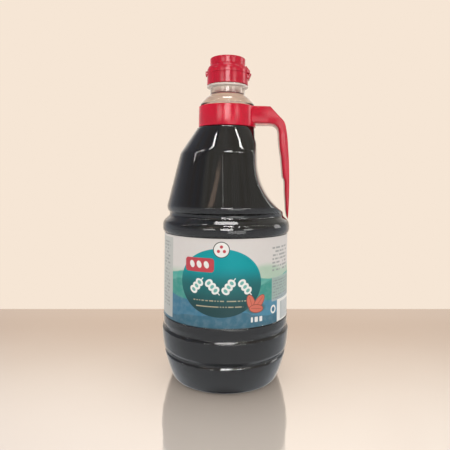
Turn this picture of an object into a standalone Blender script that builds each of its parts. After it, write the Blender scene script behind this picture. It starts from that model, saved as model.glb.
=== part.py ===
"""A 1.8 litre PET bottle of soy sauce with a flip-top cap and a clipped-on carrying handle.

Metres, +Z up, standing on z = 0 with its axis on the z axis. The handle points towards +X,
and the middle of the label faces -Y.
"""

import math

import bmesh
import bpy
from mathutils import Vector

# Turned shapes
SEGMENTS = 32
CLEARANCE = 0.0003

# Bottle body, from the floor up
BODY_WALL = 0.0010
NECK_WALL = 0.0019
INSIDE_TOLERANCE = 0.00022
PUSH_UP_HEIGHT = 0.0085
PUSH_UP_POWER = 2.4
STAND_INNER_RADIUS = 0.0385
STAND_OUTER_RADIUS = 0.0452
STAND_EDGE_WIDTH = 0.0018
STAND_EDGE_HEIGHT = 0.0006
HEEL_RADIUS = 0.0574
HEEL_DROP = 0.0102
HEEL_TOP = 0.0462
LOW_GROOVE_HEIGHT = 0.0242
HIGH_GROOVE_HEIGHT = 0.0458
GROOVE_DEPTH = 0.0010
GROOVE_LIP = 0.0014
GROOVE_FLOOR = 0.0012
GROOVE_RISE = 0.0045
PANEL_RADIUS = 0.0564
LABEL_BOTTOM = 0.0564
LABEL_TOP = 0.1292
LABEL_THICKNESS = 0.0004
LABEL_SINK = 0.0006
LABEL_STEP = 0.0003
RIM_RADIUS = 0.0579
RIM_BOTTOM = 0.1298
RIM_HEIGHT = 0.1340
RIM_TOP_RADIUS = 0.0556
RIM_TOP = 0.1408
WAIST_RADIUS = 0.0519
WAIST_EDGE = 0.0006
WAIST_BOTTOM = 0.1443
WAIST_TOP = 0.1471
BULGE_RADIUS = 0.0541
BULGE_HEIGHT = 0.1530
CREASE_RADIUS = 0.0428
CREASE_DEPTH = 0.0004
CREASE_HEIGHT = 0.2006
LEDGE_RADIUS = 0.0277
LEDGE_EDGE = 0.0010
LEDGE_HEIGHT = 0.2240
SEAT_RADIUS = 0.0230
SEAT_TOP = 0.2436
DOME_RADIUS = 0.0247
DOME_BOTTOM = 0.2448
DOME_BULGE = 0.0043
DOME_TOP_RADIUS = 0.0167
DOME_TOP = 0.2537
NECK_RADIUS = 0.0160
NECK_BOTTOM = 0.2548
SUPPORT_RADIUS = 0.0190
SUPPORT_EDGE = 0.0004
SUPPORT_BOTTOM = 0.2610
SUPPORT_TOP = 0.2629
FINISH_RADIUS = 0.0155
MOUTH_HEIGHT = 0.2685

# Finger recess, a slightly crowned face that sweeps out to the bulge at its foot
RECESS_FACE = 0.0271
RECESS_HEIGHT = 0.2066
RECESS_LEAN = 0.04
RECESS_CROWN_RADIUS = 0.18
RECESS_STEP = 0.0014
RECESS_STEP_BOTTOM = 0.2085
RECESS_STEP_TOP = 0.2140
RECESS_BEND_TOP = 0.1925
RECESS_BEND_RADIUS = 0.0560
RECESS_STEEPEST = math.radians(60)
RECESS_EDGE = 0.0040

# Soy sauce
SAUCE_LEVEL = 0.2385
SAUCE_RECESS_GAP = 0.0006

# Handle
RING_BOTTOM = 0.2244
RING_TOP = 0.2432
RING_RADIUS = 0.0263
RING_EDGE = 0.0005
HANDLE_CHAMFER = 0.0014

# Cap
CAP_RADIUS = 0.0190
CAP_BOTTOM = SUPPORT_TOP + CLEARANCE
CAP_WALL = 0.0020
CAP_EDGE = 0.0004
CAP_CEILING = 0.2692
SEAM_HEIGHT = 0.2734
SEAM_DEPTH = 0.0003
FLARE_BOTTOM = 0.2768
FLARE_BEND = 0.2800
FLARE_INSET = 0.0007
FLARE_TOP = 0.2808
LID_RADIUS = 0.0164
LID_EDGE = 0.0020
LID_CROWN = 0.0003
TOTAL_HEIGHT = 0.2884
PLUG_RADIUS = 0.0126
PLUG_WALL = 0.0012
PLUG_EDGE = 0.0005
PLUG_BOTTOM = 0.2578
PLUG_CEILING = 0.2700
ADDITION_ROOT = CAP_RADIUS - 0.0022
ADDITION_EDGE = 0.0012
TAB_REACH = 0.0197
TAB_WIDTH = 0.0070
TAB_BOTTOM = 0.2727
TAB_TOP = 0.2757
TAB_SLOPE = 0.0008
HINGE_REACH = 0.0204
HINGE_WIDTH = 0.0120
HINGE_BOTTOM = 0.2689
HINGE_TOP = 0.2808
HINGE_SLOPE = 0.0048
HINGE_GAP = 0.0005
HINGE_FOLD_REACH = 0.0217
HINGE_FOLD_WIDTH = 0.0096
HINGE_FOLD_HEIGHT = 0.0018
HINGE_FOLD_DROP = 0.0004

# Colours of the materials
CLEAR_PLASTIC = (0.80, 0.82, 0.80)
DARK_SAUCE = (0.012, 0.009, 0.008)
LABEL_TEAL = (0.05, 0.33, 0.36)
CAP_RED = (0.60, 0.03, 0.06)
HANDLE_RED = (0.62, 0.03, 0.07)


def clear_scene():
    for old in list(bpy.data.objects):
        bpy.data.objects.remove(old, do_unlink=True)


def make_material(name, colour, roughness, see_through=0.0):
    material = bpy.data.materials.new(name)
    material.use_nodes = True
    shader = material.node_tree.nodes["Principled BSDF"]
    shader.inputs["Base Color"].default_value = (*colour, 1.0)
    shader.inputs["Roughness"].default_value = roughness
    shader.inputs["Metallic"].default_value = 0.0
    shader.inputs["Transmission Weight"].default_value = see_through
    return material


def finish_object(name, mesh_builder, material):
    """Turns a bmesh into a named, smooth-shaded object with one material."""
    bmesh.ops.recalc_face_normals(mesh_builder, faces=mesh_builder.faces)
    mesh = bpy.data.meshes.new(name)
    mesh_builder.to_mesh(mesh)
    mesh_builder.free()
    mesh.shade_smooth()
    mesh.set_sharp_from_angle(angle=math.radians(35))
    mesh.materials.append(material)
    made = bpy.data.objects.new(name, mesh)
    bpy.context.scene.collection.objects.link(made)
    return made


def curve_points(start, middle, end, steps):
    """Points along a quadratic curve from start towards middle to end, without start."""
    points = []
    for step in range(1, steps + 1):
        t = step / steps
        near, pull, far = (1 - t) ** 2, 2 * t * (1 - t), t**2
        points.append(tuple(near * a + pull * b + far * c for a, b, c in zip(start, middle, end)))
    return points


def heel_radius(height):
    """Radius of the lower body, which draws in towards the floor along a parabola."""
    return HEEL_RADIUS - HEEL_DROP * (1 - min(height / HEEL_TOP, 1.0)) ** 2


def push_up_height(radius):
    """Height of the pushed-up middle of the base above the floor."""
    return PUSH_UP_HEIGHT * (1 - (radius / STAND_INNER_RADIUS) ** PUSH_UP_POWER)


def groove(height, upper_radius):
    """Four outline points of a ring groove: a sharp lower lip, a narrow floor and a long upper side."""
    lip = height - GROOVE_LIP
    floor_radius = min(upper_radius, heel_radius(lip)) - GROOVE_DEPTH
    return [
        (heel_radius(lip), lip),
        (floor_radius, height),
        (floor_radius + GROOVE_DEPTH * 0.1, height + GROOVE_FLOOR),
        (upper_radius, height + GROOVE_RISE),
    ]


def between(start, end, heights):
    """Points at some heights along the straight line from start to end."""
    slope = (end[0] - start[0]) / (end[1] - start[1])
    return [(start[0] + slope * (height - start[1]), height) for height in heights]


def base_outline():
    """The pushed-up base and the ring that the bottle stands on."""
    points = [(radius, push_up_height(radius)) for radius in (0.0, 0.0120, 0.0260, 0.0340)]
    points += [(STAND_INNER_RADIUS, 0.0), (STAND_OUTER_RADIUS, 0.0)]
    points += [(STAND_OUTER_RADIUS + STAND_EDGE_WIDTH, STAND_EDGE_HEIGHT)]
    return points


def lower_body_outline():
    """The heel with its two ring grooves."""
    points = [(heel_radius(height), height) for height in (0.0022, 0.008, 0.014, 0.019)]
    points += groove(LOW_GROOVE_HEIGHT, heel_radius(LOW_GROOVE_HEIGHT + GROOVE_RISE))
    points += [(heel_radius(0.036), 0.036)]
    points += groove(HIGH_GROOVE_HEIGHT, PANEL_RADIUS)
    return points


def label_panel_outline():
    """The shallow recess that holds the label, with a step at each end."""
    sunk = PANEL_RADIUS - LABEL_SINK
    points = [(PANEL_RADIUS, LABEL_BOTTOM - LABEL_STEP), (sunk, LABEL_BOTTOM)]
    points += [(sunk, LABEL_TOP), (PANEL_RADIUS, LABEL_TOP + LABEL_STEP)]
    return points


def waist_outline():
    """The rounded rim above the label, the waist groove and the bulge over it."""
    rim, rim_top = (RIM_RADIUS, RIM_HEIGHT), (RIM_TOP_RADIUS, RIM_TOP)
    points = curve_points((PANEL_RADIUS, RIM_BOTTOM), (RIM_RADIUS, RIM_BOTTOM + 0.0006), rim, 2)
    points += curve_points(rim, (RIM_RADIUS, RIM_TOP - 0.0018), rim_top, 4)
    points += [(WAIST_RADIUS + WAIST_EDGE, WAIST_BOTTOM - WAIST_EDGE)]
    points += [(WAIST_RADIUS, WAIST_BOTTOM + WAIST_EDGE), (WAIST_RADIUS, WAIST_TOP)]
    bulge = (BULGE_RADIUS, BULGE_HEIGHT)
    points += curve_points((WAIST_RADIUS, WAIST_TOP), (BULGE_RADIUS, WAIST_TOP + 0.0018), bulge, 3)
    return points


def shoulder_outline():
    """The tapering lower shoulder, the crease, the conical upper shoulder and the handle's ledge."""
    bulge, crease = (BULGE_RADIUS, BULGE_HEIGHT), (CREASE_RADIUS, CREASE_HEIGHT)
    cone_top = (LEDGE_RADIUS, LEDGE_HEIGHT - LEDGE_EDGE)
    points = between(bulge, crease, (0.1546, 0.1565, 0.159, 0.162, 0.166, 0.171, 0.176, 0.183, 0.1915))
    points += [(CREASE_RADIUS - CREASE_DEPTH, CREASE_HEIGHT)]
    points += between(crease, cone_top, (0.2045, RECESS_STEP_BOTTOM, 0.2112, RECESS_STEP_TOP, 0.2185))
    points += [cone_top, (LEDGE_RADIUS - LEDGE_EDGE, LEDGE_HEIGHT), (SEAT_RADIUS, LEDGE_HEIGHT)]
    return points


def neck_outline():
    """The handle's seat, the clear dome over it, the neck, its support ring and the plain mouth."""
    dome, dome_top = (DOME_RADIUS, DOME_BOTTOM), (DOME_TOP_RADIUS, DOME_TOP)
    points = [(SEAT_RADIUS, SEAT_TOP), dome]
    points += curve_points(dome, (DOME_RADIUS - 0.0010, DOME_BOTTOM + DOME_BULGE), dome_top, 4)
    points += [(NECK_RADIUS, NECK_BOTTOM), (NECK_RADIUS, SUPPORT_BOTTOM - 0.0006)]
    points += [(SUPPORT_RADIUS - SUPPORT_EDGE, SUPPORT_BOTTOM)]
    points += [(SUPPORT_RADIUS, SUPPORT_BOTTOM + SUPPORT_EDGE)]
    points += [(SUPPORT_RADIUS, SUPPORT_TOP - SUPPORT_EDGE)]
    points += [(SUPPORT_RADIUS - SUPPORT_EDGE, SUPPORT_TOP)]
    points += [(FINISH_RADIUS, SUPPORT_TOP), (FINISH_RADIUS, MOUTH_HEIGHT)]
    return points


def bottle_outline():
    """The bottle's outer outline as (radius, height), from the middle of its base to its mouth."""
    lower = base_outline() + lower_body_outline() + label_panel_outline()
    return lower + waist_outline() + shoulder_outline() + neck_outline()


def wall_at(height):
    """Wall thickness, which grows from the thin body to the stiff neck."""
    share = (height - LEDGE_HEIGHT) / (NECK_BOTTOM - LEDGE_HEIGHT)
    return BODY_WALL + (NECK_WALL - BODY_WALL) * min(max(share, 0.0), 1.0)


def inset_outline(outline, extra):
    """The outline moved inwards by the wall thickness and an extra gap, each point along its normal."""
    moved = []
    for index, point in enumerate(outline):
        before = Vector(outline[max(index - 1, 0)])
        here = Vector(point)
        after = Vector(outline[min(index + 1, len(outline) - 1)])
        sides = [side.normalized() for side in (here - before, after - here) if side.length > 0]
        normals = [Vector((side.y, -side.x)) for side in sides]
        normal = sum(normals, Vector((0.0, 0.0))).normalized()
        depth = (wall_at(here.y) + extra) / max(normal.dot(normals[0]), 0.6)
        inner = here - normal * depth
        moved.append((max(inner.x, 0.0) if point[0] > 0 else 0.0, inner.y))
    return moved


def without_fine_points(outline, tolerance):
    """The outline without the points that hardly turn it, kept whole beside the finger recess."""
    kept = [outline[0]]
    for here, after in zip(outline[1:], outline[2:]):
        start, end = Vector(kept[-1]), Vector(after)
        line = (end - start).normalized()
        away = Vector(here) - start
        beside_recess = WAIST_TOP < here[1] < LEDGE_HEIGHT
        if beside_recess or abs(line.x * away.y - line.y * away.x) > tolerance:
            kept.append(here)
    return kept + [outline[-1]]


def neck_bore(radius, top):
    """The straight bore from the shoulder's inside to the mouth."""
    return [(radius, NECK_BOTTOM + 0.0006), (radius, top)]


def shell_inside(extra):
    """The bottle's inner outline up to the shoulder, from the middle of the base."""
    outline = without_fine_points(bottle_outline(), INSIDE_TOLERANCE)
    last = max(i for i, (_, height) in enumerate(outline) if height < NECK_BOTTOM - 0.0001)
    return inset_outline(outline[: last + 1], extra)[:-1]


def smooth_step(low, high, value):
    """Share from 0 at low to 1 at high, with soft ends."""
    share = min(max((value - low) / (high - low), 0.0), 1.0)
    return share * share * (3 - 2 * share)


def recess_distance(height, inset):
    """Distance from the axis to the middle of the finger recess's face, moved inwards by inset."""
    rise = max(RECESS_BEND_TOP - height, 0.0) / RECESS_BEND_RADIUS
    angle = min(math.asin(min(rise, 1.0)), RECESS_STEEPEST)
    bend = RECESS_BEND_RADIUS * (1 - math.cos(angle))
    straight = (rise * RECESS_BEND_RADIUS - RECESS_BEND_RADIUS * math.sin(angle)) * math.tan(angle)
    lean = RECESS_LEAN * (RECESS_HEIGHT - height)
    step = RECESS_STEP * smooth_step(RECESS_STEP_BOTTOM, RECESS_STEP_TOP, height)
    return RECESS_FACE + lean - step + bend + straight - inset / math.cos(angle)


def smooth_min(first, second, blend):
    """The smaller of two lengths, with a rounded change from one to the other."""
    share = min(max(0.5 + 0.5 * (second - first) / blend, 0.0), 1.0)
    return second * (1 - share) + first * share - blend * share * (1 - share)


def recessed_radius(radius, height, angle, inset):
    """Radius of the bottle at an angle round its axis, drawn in where the finger recess is."""
    facing = math.cos(angle)
    beside = WAIST_TOP < height < LEDGE_HEIGHT + 0.0001 and radius > SEAT_RADIUS + 0.001
    if facing < 0.2 or not beside:
        return radius
    distance = recess_distance(height, inset)
    crown = 2 * distance / RECESS_CROWN_RADIUS * (1 - facing**2)
    face_radius = 2 * distance / (facing + math.sqrt(facing**2 + crown))
    return smooth_min(radius, face_radius, RECESS_EDGE)


def turned(name, rings, material, closed=False):
    """A turned solid. rings holds (radius, height, inset), with inset None away from the recess."""
    builder = bmesh.new()
    loops = []
    for radius, height, inset in rings:
        if radius < 1e-6:
            loops.append([builder.verts.new((0.0, 0.0, height))])
            continue
        loop = []
        for index in range(SEGMENTS):
            angle = 2 * math.pi * index / SEGMENTS
            length = radius if inset is None else recessed_radius(radius, height, angle, inset)
            loop.append(builder.verts.new((length * math.cos(angle), length * math.sin(angle), height)))
        loops.append(loop)
    pairs = list(zip(loops, loops[1:]))
    if closed:
        pairs.append((loops[-1], loops[0]))
    for first, second in pairs:
        # Every four-sided face is split the same way, so that nested shapes stay evenly apart.
        lower, upper = (first, second) if first[0].co.z <= second[0].co.z else (second, first)
        for index in range(SEGMENTS):
            following = (index + 1) % SEGMENTS
            start, turn = lower[index % len(lower)], upper[following % len(upper)]
            for third in (lower[following % len(lower)], upper[index % len(upper)]):
                if len({start, turn, third}) == 3:
                    builder.faces.new((start, turn, third))
    return finish_object(name, builder, material)


def make_bottle():
    outside = [(radius, height, 0.0) for radius, height in bottle_outline()]
    inside = [(radius, height, wall_at(height)) for radius, height in shell_inside(0.0)]
    bore = [(radius, height, None) for radius, height in neck_bore(NECK_RADIUS - NECK_WALL, MOUTH_HEIGHT)]
    rings = outside + list(reversed(inside + bore))
    return turned("bottle", rings, make_material("clear_pet", CLEAR_PLASTIC, 0.08, 0.9))


def make_sauce():
    """The soy sauce, a solid that follows the bottle's inside up to its level."""
    below = [point for point in shell_inside(CLEARANCE) if point[1] < SAUCE_LEVEL - 0.001]
    level_radius = SEAT_RADIUS - wall_at(SAUCE_LEVEL) - CLEARANCE
    rings = [(radius, height, wall_at(height) + SAUCE_RECESS_GAP) for radius, height in below]
    rings += [(level_radius, SAUCE_LEVEL, None), (0.0, SAUCE_LEVEL, None)]
    return turned("soy_sauce", rings, make_material("soy_sauce", DARK_SAUCE, 0.10))


def make_label():
    """The wrap-round label, a thin tube in the body's shallow recess."""
    inner = PANEL_RADIUS - LABEL_SINK + CLEARANCE
    outer = inner + LABEL_THICKNESS
    bottom, top = LABEL_BOTTOM + CLEARANCE, LABEL_TOP - CLEARANCE
    rings = [(outer, bottom, None), (outer, top, None), (inner, top, None), (inner, bottom, None)]
    return turned("label", rings, make_material("label_print", LABEL_TEAL, 0.45), closed=True)


def block(name, reach, width, bottom, top, slope=0.0):
    """A helper box that stands out of the cap to reach in X, with its far top edge lower by slope."""
    side = math.copysign(1.0, reach)
    builder = bmesh.new()
    bmesh.ops.create_cube(builder, size=1.0)
    for vert in builder.verts:
        far, high = vert.co.x > 0, vert.co.z > 0
        depth = abs(reach) if far else ADDITION_ROOT
        level = (top if high else bottom) - (slope if far and high else 0.0)
        vert.co = Vector((side * depth, vert.co.y * width, level))
    outer = []
    for edge in builder.edges:
        first, second = edge.verts[0].co, edge.verts[1].co
        upright = abs(first.y - second.y) < 1e-6
        if upright and min(abs(first.x), abs(second.x)) > ADDITION_ROOT + 1e-6:
            outer.append(edge)
    bmesh.ops.bevel(builder, geom=outer, offset=ADDITION_EDGE, segments=2, affect="EDGES")
    bmesh.ops.recalc_face_normals(builder, faces=builder.faces)
    mesh = bpy.data.meshes.new(name)
    builder.to_mesh(mesh)
    builder.free()
    made = bpy.data.objects.new(name, mesh)
    bpy.context.scene.collection.objects.link(made)
    return made


def combine(target, helper, operation="UNION"):
    """Fuses a helper to a piece, or cuts it out of the piece, with a Boolean, and hides the helper."""
    helper.hide_render = True
    helper.display_type = "WIRE"
    change = target.modifiers.new("with_" + helper.name, "BOOLEAN")
    change.operation = operation
    change.solver = "EXACT"
    change.object = helper


def cap_outline():
    """The cap's outline from the plug's ceiling, round the skirt and the lid, to the top's middle."""
    inner, bore = CAP_RADIUS - CAP_WALL, PLUG_RADIUS - PLUG_WALL
    points = [(0.0, PLUG_CEILING), (bore, PLUG_CEILING), (bore, PLUG_BOTTOM)]
    points += [(PLUG_RADIUS - PLUG_EDGE, PLUG_BOTTOM), (PLUG_RADIUS, PLUG_BOTTOM + PLUG_EDGE)]
    points += [(PLUG_RADIUS, CAP_CEILING), (inner, CAP_CEILING), (inner, CAP_BOTTOM)]
    points += [(CAP_RADIUS - CAP_EDGE, CAP_BOTTOM), (CAP_RADIUS, CAP_BOTTOM + CAP_EDGE)]
    points += [(CAP_RADIUS, SEAM_HEIGHT - SEAM_DEPTH), (CAP_RADIUS - SEAM_DEPTH, SEAM_HEIGHT)]
    flare_start, flare_end = (CAP_RADIUS, FLARE_BOTTOM), (LID_RADIUS, FLARE_TOP)
    points += [(CAP_RADIUS, SEAM_HEIGHT + SEAM_DEPTH), flare_start]
    points += curve_points(flare_start, (CAP_RADIUS - FLARE_INSET, FLARE_BEND), flare_end, 3)
    lid_side = (LID_RADIUS, TOTAL_HEIGHT - LID_EDGE)
    lid_top = (LID_RADIUS - LID_EDGE, TOTAL_HEIGHT - LID_CROWN)
    points += [lid_side]
    points += curve_points(lid_side, (LID_RADIUS, lid_top[1]), lid_top, 3)
    return points + [(0.0, TOTAL_HEIGHT)]


def make_cap():
    """The flip-top cap, moulded in one: base, lid, thumb tab, living hinge and the plug in the neck."""
    rings = [(radius, height, None) for radius, height in cap_outline()]
    cap = turned("cap", rings, make_material("cap_red", CAP_RED, 0.35))
    fold_top = SEAM_HEIGHT - HINGE_FOLD_DROP + HINGE_FOLD_HEIGHT / 2
    fold_bottom = fold_top - HINGE_FOLD_HEIGHT
    base_top, lid_bottom = SEAM_HEIGHT - HINGE_GAP, SEAM_HEIGHT + HINGE_GAP
    combine(cap, block("thumb_tab", -TAB_REACH, TAB_WIDTH, TAB_BOTTOM, TAB_TOP, TAB_SLOPE))
    combine(cap, block("hinge_base", HINGE_REACH, HINGE_WIDTH, HINGE_BOTTOM, base_top))
    combine(cap, block("hinge_lid", HINGE_REACH, HINGE_WIDTH, lid_bottom, HINGE_TOP, HINGE_SLOPE))
    combine(cap, block("hinge_fold", HINGE_FOLD_REACH, HINGE_FOLD_WIDTH, fold_bottom, fold_top))
    return cap


# Side view of the arm and grip: the outer edge and the inner edge as (x, z), and half the width in y.
HANDLE_SECTIONS = (
    ((0.0150, 0.2431), (0.0150, 0.2277), 0.0148),
    ((0.0368, 0.2431), (0.0362, 0.2277), 0.0121),
    ((0.0389, 0.2431), (0.0386, 0.2277), 0.0113),
    ((0.0455, 0.2365), (0.0430, 0.2269), 0.0096),
    ((0.0518, 0.2300), (0.0458, 0.2246), 0.0082),
    ((0.0540, 0.2230), (0.0472, 0.2207), 0.0077),
    ((0.0552, 0.2148), (0.0476, 0.2143), 0.0075),
    ((0.0559, 0.2060), (0.0483, 0.2065), 0.0073),
    ((0.0566, 0.1967), (0.0497, 0.1972), 0.0071),
    ((0.0570, 0.1877), (0.0506, 0.1879), 0.0069),
    ((0.0572, 0.1800), (0.0515, 0.1795), 0.0067),
    ((0.0573, 0.1752), (0.0530, 0.1757), 0.0065),
    ((0.0573, 0.1640), (0.0535, 0.1640), 0.0061),
    ((0.0572, 0.1555), (0.0541, 0.1560), 0.0054),
    ((0.0570, 0.1480), (0.0545, 0.1492), 0.0046),
    ((0.0567, 0.1410), (0.0554, 0.1436), 0.0034),
)


def handle_section(outer, inner, half_width):
    """Eight corners of one section of the grip, a rectangle with cut corners."""
    outer, inner = Vector(outer), Vector(inner)
    across = inner - outer
    cut = min(HANDLE_CHAMFER, across.length * 0.25)
    along = across.normalized() * cut
    corners = []
    for edge, step in ((outer, along), (inner, -along)):
        corners.append((edge + step, half_width))
        corners.append((edge, half_width - cut))
        corners.append((edge, cut - half_width))
        corners.append((edge + step, -half_width))
    order = corners[:4] + corners[:3:-1]
    return [(point.x, width, point.y) for point, width in order]


def make_handle():
    """The clip-on handle, moulded in one: a ring round the shoulder, an arm and a tapering grip."""
    red = make_material("handle_red", HANDLE_RED, 0.35)
    outline = [(0.0, RING_BOTTOM), (RING_RADIUS - RING_EDGE, RING_BOTTOM)]
    outline += [(RING_RADIUS, RING_BOTTOM + RING_EDGE), (RING_RADIUS, RING_TOP - RING_EDGE)]
    outline += [(RING_RADIUS - RING_EDGE, RING_TOP), (0.0, RING_TOP)]
    ring = turned("handle", [(radius, height, None) for radius, height in outline], red)
    inner, low, high = SEAT_RADIUS + CLEARANCE, RING_BOTTOM - RING_EDGE, RING_TOP + RING_EDGE
    bore = [(0.0, low, None), (inner, low, None), (inner, high, None), (0.0, high, None)]

    builder = bmesh.new()
    loops = []
    for section in HANDLE_SECTIONS:
        loops.append([builder.verts.new(point) for point in handle_section(*section)])
    for upper, lower in zip(loops, loops[1:]):
        for index in range(len(upper)):
            following = (index + 1) % len(upper)
            builder.faces.new((upper[index], upper[following], lower[following], lower[index]))
    builder.faces.new(loops[0])
    builder.faces.new(list(reversed(loops[-1])))
    combine(ring, finish_object("handle_arm", builder, red))
    combine(ring, turned("handle_bore", bore, red), "DIFFERENCE")
    return ring


clear_scene()
make_bottle()
make_sauce()
make_label()
make_cap()
make_handle()
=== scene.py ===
"""The looks of a 1.8 litre bottle of soy sauce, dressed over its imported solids.

Metres, +Z up, standing on z = 0 with its axis on the z axis. The handle points towards +X,
and the middle of the label faces -Y, where the camera stands.
"""

import math

import bmesh
import bpy
from mathutils import Matrix, Vector


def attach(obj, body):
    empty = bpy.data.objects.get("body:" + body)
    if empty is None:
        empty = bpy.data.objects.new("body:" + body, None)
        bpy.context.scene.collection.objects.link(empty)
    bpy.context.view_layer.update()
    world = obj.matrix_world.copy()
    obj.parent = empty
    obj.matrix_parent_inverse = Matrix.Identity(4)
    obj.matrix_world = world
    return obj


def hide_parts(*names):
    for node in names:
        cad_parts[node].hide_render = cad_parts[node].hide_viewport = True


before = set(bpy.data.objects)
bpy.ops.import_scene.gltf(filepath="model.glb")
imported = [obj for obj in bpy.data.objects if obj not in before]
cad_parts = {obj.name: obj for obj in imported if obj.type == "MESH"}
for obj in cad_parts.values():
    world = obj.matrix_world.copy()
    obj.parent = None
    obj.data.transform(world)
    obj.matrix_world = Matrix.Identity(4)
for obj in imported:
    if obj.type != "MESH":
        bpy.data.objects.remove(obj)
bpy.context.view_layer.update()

# Camera, worked out from the curves of the cap, ring, label, grooves and base
IMAGE_SIZE = 450
LENS = 36.0
CAMERA_DISTANCE = 0.41625
CAMERA_HEIGHT = 0.1753
HORIZON_ROW = 181.0
AXIS_COLUMN = 226.6
ROLL = math.radians(0.57)

# Stage
FLOOR_SIZE = 3.0
FLOOR_NEAR = -0.14
FLOOR_BACK_EDGE = 0.2002
FLOOR_BACK_SLOPE = 0.035
SHEEN_REACH = 0.30
SHEEN_END = 0.85
SHEEN_METALLIC = (0.38, 0.0)
SHEEN_ROUGHNESS = (0.035, 0.8)
FLOOR_FAR_COLOUR = (0.50, 0.355, 0.245)
FLOOR_NEAR_COLOUR = (0.99, 0.89, 0.80)
WALL_COLOUR = (0.922, 0.79, 0.665)

# Turned shapes
SEGMENTS = 160
ROUND_ANGLES = [2 * math.pi * index / SEGMENTS for index in range(SEGMENTS)]
RECESS_DEGREES = [1.2 * step for step in range(-60, 60)]
OTHER_DEGREES = [3.0 * step for step in range(24, 96)]
BOTTLE_ANGLES = [math.radians(degrees) for degrees in RECESS_DEGREES + OTHER_DEGREES]
OVERLAP = 0.0002
SHARP_ANGLE = math.radians(40)
LEAST_TURN = math.radians(9)
OUTER_STEP = 0.0022
INNER_STEP = 0.0030

# Bottle body, from the floor up
BODY_WALL = 0.0010
NECK_WALL = 0.0019
INSIDE_TOLERANCE = 0.00022
PUSH_UP_HEIGHT = 0.0085
PUSH_UP_POWER = 2.4
PUSH_UP_SPAN = (0.0, 0.0360, 12)
STAND_INNER_RADIUS = 0.0385
STAND_OUTER_RADIUS = 0.0452
STAND_EDGE_WIDTH = 0.0018
STAND_EDGE_HEIGHT = 0.0006
HEEL_RADIUS = 0.0574
HEEL_DROP = 0.0102
HEEL_TOP = 0.0462
HEEL_SPAN = (0.0022, 0.0208, 12)
BETWEEN_GROOVES_SPAN = (0.0310, 0.0425, 7)
LOW_GROOVE_HEIGHT = 0.0242
HIGH_GROOVE_HEIGHT = 0.0458
GROOVE_DEPTH = 0.0010
GROOVE_LIP = 0.0014
GROOVE_FLOOR = 0.0012
GROOVE_RISE = 0.0045
PANEL_RADIUS = 0.0564
LABEL_BOTTOM = 0.0564
LABEL_TOP = 0.1292
LABEL_SINK = 0.0006
LABEL_STEP = 0.0003
RIM_RADIUS = 0.0579
RIM_BOTTOM = 0.1298
RIM_HEIGHT = 0.1340
RIM_TOP_RADIUS = 0.0556
RIM_TOP = 0.1408
RIM_FOOT_PULL = 0.0006
RIM_TOP_PULL = 0.0018
WAIST_RADIUS = 0.0519
WAIST_EDGE = 0.0006
WAIST_BOTTOM = 0.1443
WAIST_TOP = 0.1471
BULGE_RADIUS = 0.0541
BULGE_HEIGHT = 0.1530
BULGE_PULL = 0.0018
CREASE_RADIUS = 0.0428
CREASE_DEPTH = 0.0004
CREASE_HEIGHT = 0.2006
CREASE_REACH = 0.0020
LEDGE_RADIUS = 0.0277
LEDGE_EDGE = 0.0010
LEDGE_HEIGHT = 0.2240
SEAT_RADIUS = 0.0230
SEAT_TOP = 0.2436
DOME_RADIUS = 0.0247
DOME_BOTTOM = 0.2448
DOME_BULGE = 0.0043
DOME_LEAN = 0.0010
DOME_TOP_RADIUS = 0.0167
DOME_TOP = 0.2537
NECK_RADIUS = 0.0160
NECK_BOTTOM = 0.2548
SUPPORT_RADIUS = 0.0190
SUPPORT_EDGE = 0.0004
SUPPORT_BOTTOM = 0.2610
SUPPORT_FILLET = 0.0006
COLLAR_BOTTOM = SUPPORT_BOTTOM - 0.0008
SUPPORT_TOP = 0.2629
COLLAR_TOP = SUPPORT_TOP - 0.0005
FINISH_RADIUS = 0.0155
MOUTH_HEIGHT = 0.2685
CORNER_REACH = 0.0006

# Finger recess, a slightly crowned face that sweeps out to the bulge at its foot
RECESS_FACE = 0.0271
RECESS_HEIGHT = 0.2066
RECESS_LEAN = 0.04
RECESS_CROWN_RADIUS = 0.18
RECESS_STEP = 0.0014
RECESS_STEP_BOTTOM = 0.2085
RECESS_STEP_TOP = 0.2140
RECESS_BEND_TOP = 0.1925
RECESS_BEND_RADIUS = 0.0560
RECESS_STEEPEST = math.radians(60)
RECESS_EDGE = 0.0024
RECESS_LEAST_FACING = 0.2

# Soy sauce
SAUCE_LEVEL = 0.2385
MENISCUS = 0.0012

# Label
LABEL_INNER = PANEL_RADIUS - LABEL_SINK + 0.00005
LABEL_THICKNESS = 0.0003
LABEL_MARGIN = 0.0004
LABEL_LAP_START = math.radians(0.14)
LABEL_LAP_END = math.radians(7)
LABEL_LAP_RISE = 0.00012

# Cap
CAP_RADIUS = 0.0190
CAP_BOTTOM = SUPPORT_TOP + 0.0003
CAP_WALL = 0.0020
CAP_CEILING = 0.2692
CAP_EDGE = 0.0003
SKIRT_STEP = 0.004
LID_STEP = 0.0012
SEAM_HEIGHT = 0.2734
SEAM_GAP = 0.00016
SEAM_DEPTH = 0.0003
FLARE_BOTTOM = 0.2768
FLARE_BEND = 0.2800
FLARE_INSET = 0.0007
FLARE_TOP = 0.2808
LID_RADIUS = 0.0164
LID_EDGE = 0.0020
LID_CROWN = 0.0003
TOTAL_HEIGHT = 0.2884
PLUG_RADIUS = 0.0126
PLUG_WALL = 0.0012
PLUG_EDGE = 0.0005
PLUG_BOTTOM = 0.2578
ADDITION_ROOT = CAP_RADIUS - 0.0022
ADDITION_ROUNDING = 0.0006
TAB_REACH = 0.0197
TAB_WIDTH = 0.0070
TAB_BOTTOM = 0.2727
TAB_TOP = 0.2757
TAB_SLOPE = 0.0008
HINGE_REACH = 0.0204
HINGE_WIDTH = 0.0120
HINGE_BOTTOM = 0.2689
HINGE_TOP = 0.2808
HINGE_SLOPE = 0.0048
HINGE_GAP = 0.0005
HINGE_FOLD_REACH = 0.0217
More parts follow.
